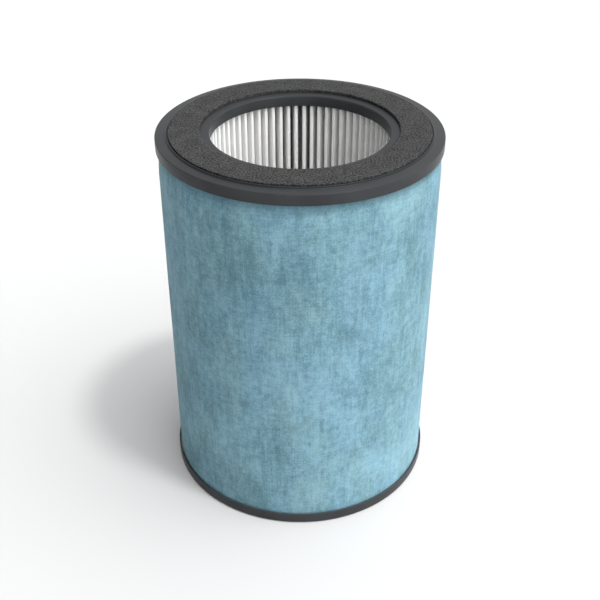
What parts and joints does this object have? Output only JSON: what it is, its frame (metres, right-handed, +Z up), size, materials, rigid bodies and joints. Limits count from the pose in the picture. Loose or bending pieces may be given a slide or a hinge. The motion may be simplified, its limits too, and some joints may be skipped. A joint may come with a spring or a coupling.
{
  "type": "air purifier filter",
  "caption": "Drum-shaped air filter: pleated paper in a cloth wrap, between a closed end cap and an open end cap with a foam gasket ring.",
  "frame": {"origin": "on the drum's axis, on the floor that the closed end cap stands on", "axes": "+Z up along the drum's axis, out of the open end; the cloth's welded lap is at +Y"},
  "size_m": [0.2616, 0.2616, 0.363],
  "materials": {
    "cap_plastic": "charcoal moulded plastic, fine satin grain",
    "gasket_foam": "grey open-cell foam, fine speckle",
    "filter_paper": "white non-woven filter paper, matt",
    "wrap_cloth": "teal-blue non-woven cloth, cloudy fibres",
    "cured_adhesive": "pale cured hot-melt adhesive"
  },
  "bodies": {
    "root": {"top_end_cap": "cap_plastic", "top_gasket": "gasket_foam", "pleated_media": "filter_paper", "outer_wrap": "wrap_cloth", "bottom_end_cap": "cap_plastic", "top_potting_ring": "cured_adhesive", "bottom_potting_ring": "cured_adhesive"}
  },
  "joints": []
}
